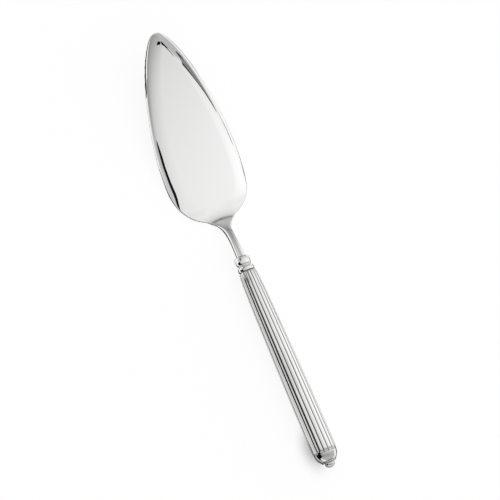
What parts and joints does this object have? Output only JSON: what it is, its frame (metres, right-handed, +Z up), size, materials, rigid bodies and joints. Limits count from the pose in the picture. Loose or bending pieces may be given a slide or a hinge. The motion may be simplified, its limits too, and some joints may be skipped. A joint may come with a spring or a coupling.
{
  "type": "cake server",
  "caption": "Polished silver cake server: a spade blade with a rolled-down border on a cranked neck, a turned collar and a tapering hollow reeded handle with a domed end and knob.",
  "frame": {"origin": "middle of the footprint, on the table that the server lies on", "axes": "+X from the handle towards the tip of the blade, +Z up from the table"},
  "size_m": [0.28, 0.0516, 0.0225],
  "materials": {
    "blade_silver": "mirror-polished silver with fine wiping scratches",
    "collar_silver": "polished silver, darker in the turned coves",
    "handle_silver": "polished silver over pressed reeds, slightly tarnished in the grooves",
    "cap_silver": "polished silver",
    "cement": "set cutler's cement, hidden inside the handle"
  },
  "bodies": {
    "root": {"blade": "blade_silver", "bolster_collar": "collar_silver", "upper_handle_shell": "handle_silver", "lower_handle_shell": "handle_silver", "handle_end_cap": "cap_silver", "end_finial": "cap_silver", "handle_cement": "cement"}
  },
  "joints": []
}
